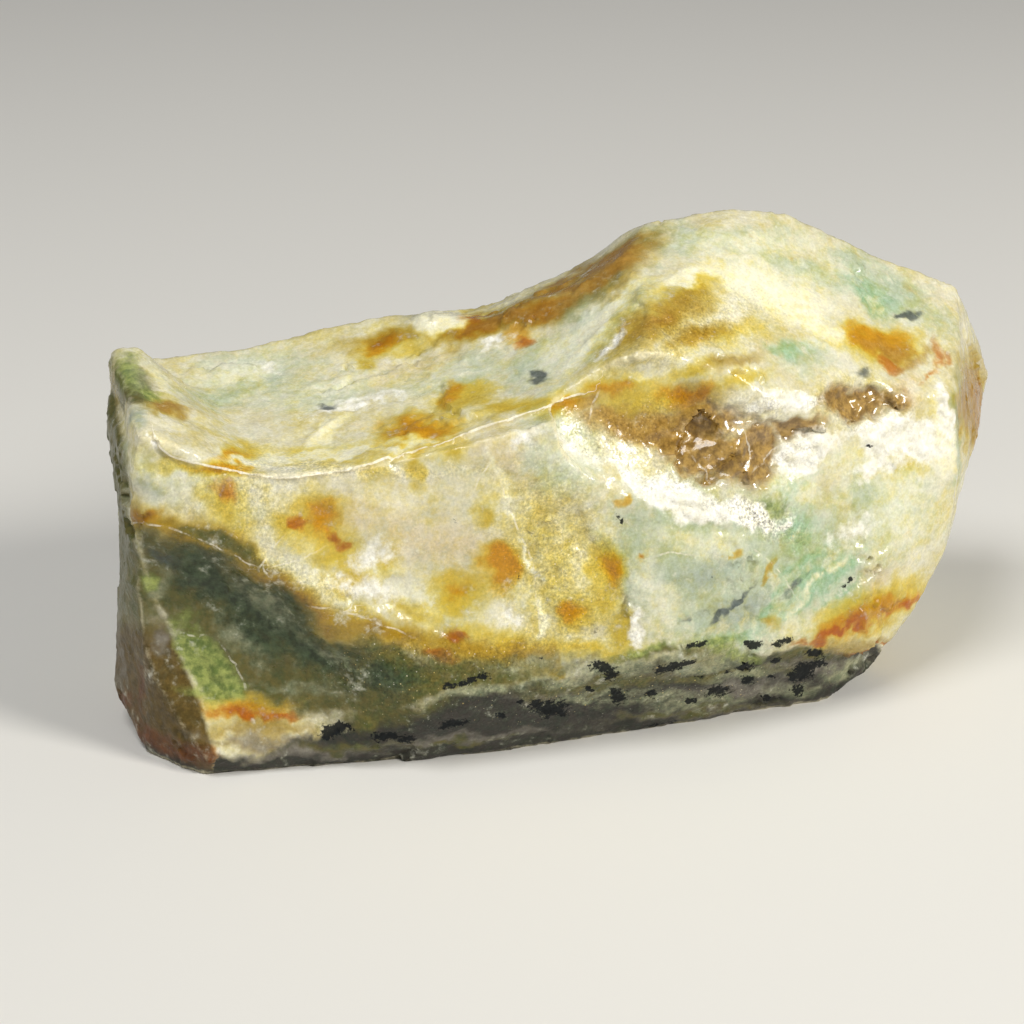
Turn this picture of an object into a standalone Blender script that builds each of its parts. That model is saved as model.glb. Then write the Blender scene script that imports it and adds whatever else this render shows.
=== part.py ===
"""A piece of rough opal, broken out of its seam and never cut or polished.

It is one solid. A hull of named corners gives the broken block, shell-shaped flake scars are cut out of
it, uneven relief is laid over the fracture faces, and a flat patch underneath is what it rests on.

Units in the tables are millimetres. X runs along the stone, Y away from its best side, +Z up.
The origin is on the resting face, under the middle of the stone.
"""

import math

import bmesh
import bpy
from mathutils import Matrix, Vector, noise

MM = 0.001

# Corners of the broken block, before any flake left it.
CORNERS = {
    # crest, from the horn at the left end to the hump at the right
    "horn": (-18.3, 2.0, 16.4),
    "horn_back": (-17.6, 5.0, 15.0),
    "hump_left": (5.9, 4.5, 19.7),
    "hump_peak": (9.2, 4.2, 20.3),
    "hump_peak_right": (11.6, 4.0, 20.0),
    "hump_right": (15.4, 4.5, 18.0),
    "top_right": (20.0, 3.0, 16.3),
    "top_right_low": (20.2, 2.0, 13.8),
    # front brow
    "brow_left": (-17.4, -4.8, 16.0),
    "brow_middle": (0.8, -6.6, 17.0),
    "brow_right": (8.0, -5.4, 14.6),
    "brow_end": (17.8, -2.6, 13.2),
    # right-hand edge of the best side
    "edge_high": (18.0, -3.0, 10.6),
    "edge_middle": (17.9, -3.2, 8.2),
    "edge_low": (17.6, -3.4, 5.6),
    "edge_foot": (15.6, -3.6, 2.1),
    # knob behind the right end
    "knob_high": (22.1, 5.0, 12.1),
    "knob_tip": (22.8, 5.0, 10.4),
    "knob_low": (21.3, 5.0, 8.3),
    # top of the lower bevel
    "bevel_left": (-15.7, -7.0, 2.4),
    "bevel_middle_left": (-6.7, -8.0, 4.2),
    "bevel_middle": (2.3, -8.2, 4.8),
    "bevel_right": (11.3, -6.6, 3.9),
    "bevel_end": (15.0, -4.5, 2.4),
    # left-hand edge of the best side
    "left_edge_high": (-18.3, -4.8, 14.0),
    "left_edge_middle": (-17.8, -5.8, 9.2),
    "left_edge_low": (-16.8, -6.4, 5.4),
    # left end
    "end_high": (-18.8, 0.5, 14.0),
    "end_middle": (-19.1, 0.0, 7.0),
    "end_low": (-19.3, -0.5, 1.8),
    # foot, all round
    "toe_left": (-16.2, -5.6, -0.3),
    "toe_middle": (-3.4, -6.3, -0.3),
    "toe_right": (11.5, -5.0, -0.3),
    "toe_end": (13.5, -2.0, -0.3),
    "foot_left": (-18.3, -3.4, 0.0),
    "heel_left": (-16.5, 4.5, -0.3),
    "heel_middle": (0.0, 6.0, -0.3),
    "heel_right": (11.0, 5.0, -0.3),
    # back
    "back_left_high": (-15.0, 7.0, 12.0),
    "back_left_low": (-17.0, 6.8, 4.0),
    "back_middle_high": (-1.0, 8.6, 13.0),
    "back_middle_low": (1.0, 8.8, 5.0),
    "back_right_high": (13.0, 8.4, 13.5),
    "back_right_low": (15.0, 8.0, 4.5),
}

# Flake scars. Each is the middle of the hollow's floor, the way it faces (heading from +X towards +Y, and
# rise above the horizon), its length, width and depth, and how far its length is turned from level.
SCARS = {
    "top_scar": ((-6.5, -1.0, 14.3), (-150.0, 77.0), 30.0, 22.0, 2.4, 0.0),
    "notch_scar": ((-15.1, 3.0, 14.3), (-100.0, 78.0), 9.0, 5.0, 0.8, 80.0),
    "slope_scar": ((1.2, 5.0, 16.9), (160.0, 66.0), 10.0, 10.0, 0.9, 0.0),
    "front_scar": ((-5.5, -6.3, 10.2), (-93.0, 6.0), 26.0, 15.0, 0.8, -6.0),
    "green_scar": ((-11.2, -5.9, 5.6), (-112.0, -6.0), 19.0, 8.4, 1.2, -28.0),
    "cavity_scar": ((6.7, -5.5, 13.0), (-97.0, 28.0), 9.6, 4.4, 0.45, -12.0),
    "cavity_right_scar": ((8.9, -5.0, 12.5), (-76.0, 16.0), 4.6, 3.4, 0.5, -35.0),
    "small_cavity_scar": ((13.6, -3.4, 13.3), (-75.0, 35.0), 3.4, 2.4, 0.5, -20.0),
    "end_scar": ((18.0, 1.6, 4.6), (-6.0, -22.0), 14.0, 12.0, 1.1, 90.0),
    "back_left_scar": ((-7.5, 7.1, 8.2), (94.0, 2.0), 21.0, 11.0, 0.9, 10.0),
    "back_right_scar": ((9.0, 7.7, 8.8), (84.0, -6.0), 15.0, 10.0, 0.8, -35.0),
    "back_chip": ((16.9, 6.5, 12.6), (62.0, 30.0), 11.0, 8.0, 0.5, 60.0),
    "left_end_scar": ((-18.85, 0.6, 8.5), (184.0, 2.0), 13.0, 8.0, 0.3, 80.0),
}

# What stands above the scars: each ridge is the hull of its own corners, sunk into the block.
RIDGES = {
    "left_rim": (
        (-18.1, 2.2, 16.1),
        (-17.4, 2.4, 16.1),
        (-17.9, -4.6, 15.4),
        (-17.4, -4.8, 15.4),
        (-15.8, -5.1, 14.2),
        (-12.6, -5.2, 13.2),
        (-13.6, 2.2, 13.5),
        (-16.6, 5.8, 13.4),
        (-17.8, 5.6, 13.2),
        (-18.2, -4.6, 12.4),
        (-18.3, 3.0, 11.5),
        (-14.6, -4.9, 12.4),
        (-14.0, 3.0, 11.5),
    ),
}

# Low swellings left between the scars: middle, radius and height.
SWELLINGS = {
    "crest_bump": ((-4.0, 4.6, 16.2), 1.3, 0.45),
    "horn_tip": ((-18.0, 2.0, 16.2), 1.6, 0.3),
}

# The bowl that cuts a scar: its facets, how many times wider than the scar it is, and the height of its lid.
BOWL_SPOKES = 72
BOWL_RINGS = 40
BOWL_REACH = 1.6
LID_HEIGHT = 8.0
MOST_OF_A_RIGHT_ANGLE = 0.95

# Unevenness of the fracture faces, as pairs of wavelength and height, and the grid that carries it.
RELIEF = ((5.5, 0.30), (2.2, 0.10), (1.1, 0.03))
OCTAVE_SHIFT = 7.3
SURFACE_CELL = 0.22

# Where the opal broke unevenly: middle, radius, and the height of the hackly relief there.
HACKLY = {
    "cavity_floor": ((7.4, -5.3, 13.0), 2.9, 0.26),
    "small_cavity_floor": ((13.8, -3.2, 13.2), 1.8, 0.22),
    "left_shelf": ((-16.5, -5.6, 11.0), 2.5, 0.16),
}
HACKLY_WAVELENGTH = 1.5
HACKLY_OCTAVES = 2

# The finished surface: how many triangles are kept, and the angle above which an edge looks crisp.
TRIANGLES_KEPT = 9000
CRISP_EDGE = math.radians(34.0)


def clear_scene():
    for obj in list(bpy.data.objects):
        bpy.data.objects.remove(obj)


def collection(name):
    made = bpy.data.collections.new(name)
    bpy.context.scene.collection.children.link(made)
    return made


def add_object(name, mesh, into):
    obj = bpy.data.objects.new(name, mesh)
    into.objects.link(obj)
    return obj


def evaluated_mesh(obj):
    """The object's mesh with its modifiers applied."""
    graph = bpy.context.evaluated_depsgraph_get()
    return bpy.data.meshes.new_from_object(obj.evaluated_get(graph))


def hull_of(name, corners, into):
    """The convex block that the corners span."""
    bm = bmesh.new()
    for corner in corners:
        bm.verts.new(Vector(corner) * MM)
    hull = bmesh.ops.convex_hull(bm, input=bm.verts)
    inner = {e for e in hull["geom_interior"] if isinstance(e, bmesh.types.BMVert)}
    inner |= {e for e in hull["geom_unused"] if isinstance(e, bmesh.types.BMVert)}
    bmesh.ops.delete(bm, geom=list(inner), context="VERTS")
    bmesh.ops.recalc_face_normals(bm, faces=bm.faces)
    mesh = bpy.data.meshes.new(name)
    bm.to_mesh(mesh)
    bm.free()
    return add_object(name, mesh, into)


def scar_cutter(name, floor, facing, length, width, depth, turn, into):
    """A bowl with a domed lid: its round underside leaves a hollow of the scar's length, width and depth."""
    ball = ((width / 2) ** 2 + depth**2) / (2 * depth)
    reach = math.asin(min(MOST_OF_A_RIGHT_ANGLE, BOWL_REACH * width / 2 / ball))
    bm = bmesh.new()
    bmesh.ops.create_uvsphere(bm, u_segments=BOWL_SPOKES, v_segments=BOWL_RINGS, radius=1.0)
    for vert in bm.verts:
        across = Vector((vert.co.x, vert.co.y, 0.0))
        direction = across.normalized()
        from_pole = math.acos(max(-1.0, min(1.0, -vert.co.z)))
        if vert.co.z <= 0.0:
            angle = reach * from_pole / (math.pi / 2)
            vert.co = direction * ball * math.sin(angle) + Vector((0, 0, ball * (1 - math.cos(angle))))
        else:
            lid = ball * (1 - math.cos(reach)) + LID_HEIGHT * vert.co.z
            vert.co = direction * ball * math.sin(reach) * across.length + Vector((0, 0, lid))
    heading, rise = (math.radians(angle) for angle in facing)
    outward = Vector((math.cos(rise) * math.cos(heading), math.cos(rise) * math.sin(heading), math.sin(rise)))
    level = Vector((0, 0, 1)).cross(outward).normalized()
    aim = Matrix((level, outward.cross(level), outward)).transposed().to_4x4()
    spin = Matrix.Rotation(math.radians(turn), 4, "Z")
    stretch = Matrix.Diagonal((length / width, 1, 1, 1))
    size = Matrix.Scale(MM, 4)
    bm.transform(Matrix.Translation(Vector(floor) * MM) @ aim @ spin @ stretch @ size)
    mesh = bpy.data.meshes.new(name)
    bm.to_mesh(mesh)
    bm.free()
    return add_object(name, mesh, into)


def nearness(point, middle, radius):
    """1 at the middle, falling to about a third at the radius and to nothing well outside it."""
    return math.exp(-(((point - Vector(middle)).length / radius) ** 2))


def uneven(point):
    """How far the fracture surface stands out at a point, in millimetres."""
    height = 0.0
    for octave, (wavelength, share) in enumerate(RELIEF):
        height += share * noise.noise(point / wavelength + Vector((octave * OCTAVE_SHIFT, 0, 0)))
    for middle, radius, rise in SWELLINGS.values():
        height += rise * nearness(point, middle, radius)
    for middle, radius, rise in HACKLY.values():
        crag = noise.ridged_multi_fractal(point / HACKLY_WAVELENGTH, 1.0, 2.0, HACKLY_OCTAVES, 1.0, 2.0) - 1.0
        height += rise * crag * nearness(point, middle, radius)
    return height


def replace_mesh(obj, mesh):
    """Gives the object this mesh in place of its own and of its modifiers."""
    obj.modifiers.clear()
    obj.data = mesh


def weather(stone):
    """Lays the uneven relief over the cut block, on an even grid of faces."""
    grid = stone.modifiers.new("even_grid", "REMESH")
    grid.mode = "VOXEL"
    grid.voxel_size = SURFACE_CELL * MM
    mesh = evaluated_mesh(stone)
    mesh.update()
    normals = [vert.normal.copy() for vert in mesh.vertices]
    for vert, normal in zip(mesh.vertices, normals):
        vert.co += normal * uneven(vert.co / MM) * MM
    replace_mesh(stone, mesh)


def thin_out(stone):
    """Collapses the even grid to few triangles, which keeps the ridges between the scars."""
    triangles = sum(len(face.vertices) - 2 for face in stone.data.polygons)
    thin = stone.modifiers.new("thin_out", "DECIMATE")
    thin.ratio = TRIANGLES_KEPT / triangles
    replace_mesh(stone, evaluated_mesh(stone))


def flatten_foot(stone):
    """Cuts the underside level, so that the stone rests on a flat patch."""
    bm = bmesh.new()
    bm.from_mesh(stone.data)
    everything = bm.verts[:] + bm.edges[:] + bm.faces[:]
    ground = {"plane_co": (0, 0, 0), "plane_no": (0, 0, -1)}
    cut = bmesh.ops.bisect_plane(bm, geom=everything, clear_outer=True, **ground)
    rim = [item for item in cut["geom_cut"] if isinstance(item, bmesh.types.BMEdge)]
    bmesh.ops.contextual_create(bm, geom=rim)
    bmesh.ops.triangulate(bm, faces=[face for face in bm.faces if len(face.verts) > 3])
    bmesh.ops.recalc_face_normals(bm, faces=bm.faces)
    bm.to_mesh(stone.data)
    bm.free()


def shade(stone):
    """Smooth within each fracture face, crisp along the edges between them."""
    stone.data.shade_smooth()
    stone.data.set_sharp_from_angle(angle=CRISP_EDGE)


def opal_material():
    """Milky common opal: waxy, with a little light going in."""
    material = bpy.data.materials.new("common_opal")
    material.use_nodes = True
    shader = material.node_tree.nodes["Principled BSDF"]
    shader.inputs["Base Color"].default_value = (0.62, 0.55, 0.36, 1.0)
    shader.inputs["Roughness"].default_value = 0.35
    shader.inputs["Metallic"].default_value = 0.0
    shader.inputs["IOR"].default_value = 1.45
    return material


def combine(stone, helper, operation):
    """Cuts or joins a helper shape, which is left out of the part."""
    helper.hide_render = True
    helper.display_type = "WIRE"
    step = stone.modifiers.new(helper.name, "BOOLEAN")
    step.object = helper
    step.operation = operation


def main():
    clear_scene()
    parts = collection("rough_opal")
    helpers = collection("cutters")
    stone = hull_of("opal_stone", CORNERS.values(), parts)
    for name, scar in SCARS.items():
        combine(stone, scar_cutter(name, *scar, helpers), "DIFFERENCE")
    for name, corners in RIDGES.items():
        combine(stone, hull_of(name, corners, helpers), "UNION")
    weather(stone)
    thin_out(stone)
    flatten_foot(stone)
    shade(stone)
    stone.data.materials.append(opal_material())


main()
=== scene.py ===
"""Dresses a piece of rough opal: the relief of its broken faces, its coloured zones, and the light it lies in.

Lengths are in millimetres unless a name says otherwise. A place on the best side is given as it is seen by the
show camera, (across, down) in view pixels of a 1024 x 1024 frame, and is carried from there onto the stone.
"""

import math
import random

import bmesh
import bpy
import numpy as np
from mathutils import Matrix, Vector, noise
from mathutils.bvhtree import BVHTree


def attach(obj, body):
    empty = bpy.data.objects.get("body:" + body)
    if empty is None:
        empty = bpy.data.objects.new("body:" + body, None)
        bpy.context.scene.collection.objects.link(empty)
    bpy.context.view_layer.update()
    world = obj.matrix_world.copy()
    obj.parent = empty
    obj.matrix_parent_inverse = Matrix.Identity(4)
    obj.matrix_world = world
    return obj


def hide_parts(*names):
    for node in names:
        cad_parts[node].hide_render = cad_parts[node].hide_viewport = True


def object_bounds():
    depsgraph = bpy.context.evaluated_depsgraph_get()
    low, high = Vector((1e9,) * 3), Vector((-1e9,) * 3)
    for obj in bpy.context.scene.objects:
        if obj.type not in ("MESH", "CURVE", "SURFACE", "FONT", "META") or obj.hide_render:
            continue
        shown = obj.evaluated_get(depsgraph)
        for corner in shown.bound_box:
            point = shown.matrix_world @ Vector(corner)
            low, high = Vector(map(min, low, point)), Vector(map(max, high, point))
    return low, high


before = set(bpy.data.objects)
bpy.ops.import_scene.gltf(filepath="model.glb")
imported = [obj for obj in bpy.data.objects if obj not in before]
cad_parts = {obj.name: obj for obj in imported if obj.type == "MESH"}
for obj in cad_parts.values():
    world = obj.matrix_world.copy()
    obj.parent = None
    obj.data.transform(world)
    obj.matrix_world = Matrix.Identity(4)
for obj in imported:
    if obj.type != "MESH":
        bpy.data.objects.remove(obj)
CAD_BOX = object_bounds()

MM = 0.001

# ---------------------------------------------------------------- show camera

VIEW_PIXELS = 1024
SHOW_HEADING = math.radians(-12.0)
SHOW_RISE = math.radians(25.0)
SHOW_TARGET = np.array([-1.5, 0.0, 8.3])
SHOW_DISTANCE = 106.98
LENS = 85.0
SENSOR = 36.0
PIXELS_PER_MM = 22.6  # at the target

CRUST_RUN = (0.82, -0.57)  # the white crust is drawn out this way: to the right, and up, as seen by the show camera

# ---------------------------------------------------------------- how fine the stone's mesh is

CRISP_ANGLE = math.radians(26.0)
SHARP_ANGLE = math.radians(60.0)
GRID = 0.142
TRIANGLES_KEPT = 196000

# ---------------------------------------------------------------- how rough it is

# Heights of the fine relief, in millimetres.
ROUGH, FINE_ROUGH = 0.07, 0.03
BIG_SHARD, SMALL_SHARD, GLASS_SHARD = 0.20, 0.03, 0.5
EDGE_CHIP = 0.16
CRUST_FLAKE = 0.36
LEDGE_LIP, LEDGE_DROP = 0.01, 0.17
STEP_LIP, STEP_DROP = 0.02, 0.14
RIPPLE = 0.06
RIDGE_WIDTH = 0.18
# How far the edges of zones stray, in view pixels: in long waves, in short ones, and where an edge is crisp.
STRAY, FRAY, CRISP_STRAY = 10.0, 5.0, 2.0
# How much longer and wider the sprays of ore are sown than they show, because their rims fray away.
SPRAY_LENGTH, SPRAY_WIDTH = 1.3, 1.35

# ---------------------------------------------------------------- lines seen on the best side

# Broken edge of the upper layer, left to right.
LEDGE = (
    (150, 420), (154, 436), (160, 450), (173, 459), (198, 465), (228, 470), (257, 476), (286, 479), (315, 476),
    (348, 471), (382, 461), (415, 449), (445, 439), (491, 425), (536, 410), (582, 394), (596, 391), (600, 380),
)
# Top of the lower bevel, left to right.
BEVEL_TOP = (
    (200, 752), (260, 748), (320, 734), (370, 712), (430, 696), (520, 678), (640, 662), (730, 655), (830, 648),
    (960, 650),
)
# Rim of the green hollow, left to right.
HOLLOW_RIM = (
    (128, 520), (150, 526), (173, 532), (215, 546), (257, 570), (298, 602), (330, 628), (382, 640), (444, 652),
    (520, 662), (560, 670),
)
# Foot of the green hollow, left to right.
HOLLOW_FOOT = (
    (128, 600), (175, 640), (202, 698), (260, 702), (320, 712), (370, 716), (430, 700), (520, 682), (640, 666),
)
# Left-hand edge of the best side, top to bottom.
LEFT_EDGE = (
    (112, 360), (124, 440), (130, 500), (138, 540), (150, 590), (176, 640), (200, 700), (213, 742), (216, 780),
)
# Step between the golden face and the pale green one, top to bottom.
PALE_STEP = (
    (572, 490), (580, 507), (595, 544), (613, 566), (627, 598), (637, 646),
)
# Short ridges and cracks: points, and how far the line stands out in millimetres (negative is a crack).
SMALL_RIDGES = {
    "second_ridge": (((347, 413), (325, 428), (299, 449)), 0.12),
    "ledge_crack": (((600, 386), (596, 400), (590, 421)), -0.09),
    "hollow_rib": (((176, 638), (212, 632), (232, 652), (244, 690)), 0.06),
    "hollow_lip": (((132, 521), (150, 525), (173, 530), (200, 541)), 0.08),
    "nick_lip": (((122, 577), (140, 585), (157, 582)), 0.10),
    "grey_vein": (((747, 583), (728, 600), (706, 624)), -0.05),
    "hump_seam": (((560, 372), (600, 330), (650, 290), (700, 262)), 0.06),
    "crust_edge": (((628, 470), (655, 500), (690, 520), (740, 534), (770, 520)), -0.08),
    "front_crease": (((300, 560), (360, 585), (430, 625), (514, 662)), -0.05),
    "golden_crease": (((505, 440), (528, 500), (545, 570), (566, 640)), 0.05),
}

# Healed cracks, drawn as thin pale lines.
HAIRLINES = (
    ((128, 521), (150, 524), (172, 529), (200, 541), (228, 553), (262, 570), (290, 598)),
    ((256, 574), (270, 552), (287, 532)), ((262, 570), (296, 562), (330, 545)), ((213, 634), (236, 664), (250, 700)),
    ((168, 634), (190, 636), (213, 634)), ((347, 413), (325, 428), (303, 447)), ((590, 421), (594, 402), (600, 388)),
    ((498, 470), (514, 520), (533, 560), (541, 640)), ((330, 628), (352, 604), (372, 568)),
    ((300, 604), (352, 612), (420, 640)), ((470, 500), (486, 470), (500, 446)), ((690, 452), (706, 470), (716, 488)),
    ((738, 420), (752, 446), (748, 478)), ((748, 478), (770, 456), (790, 436)), ((640, 560), (672, 552), (700, 556)),
    ((740, 540), (776, 566), (800, 604)),
)

# Flat faces with a crisp rim: zone, corners seen clockwise, how quickly the colour comes in (view pixels).
FACETS = (
    ("leaf", ((166, 630), (213, 634), (236, 664), (250, 700), (204, 705)), 7.0),
    # The second face, at the nick, is a painted highlight: yellow light caught on the nick.
    ("leaf", ((138, 575), (160, 578), (158, 590), (146, 592)), 5.0),
)

# ---------------------------------------------------------------- coloured zones

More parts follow.
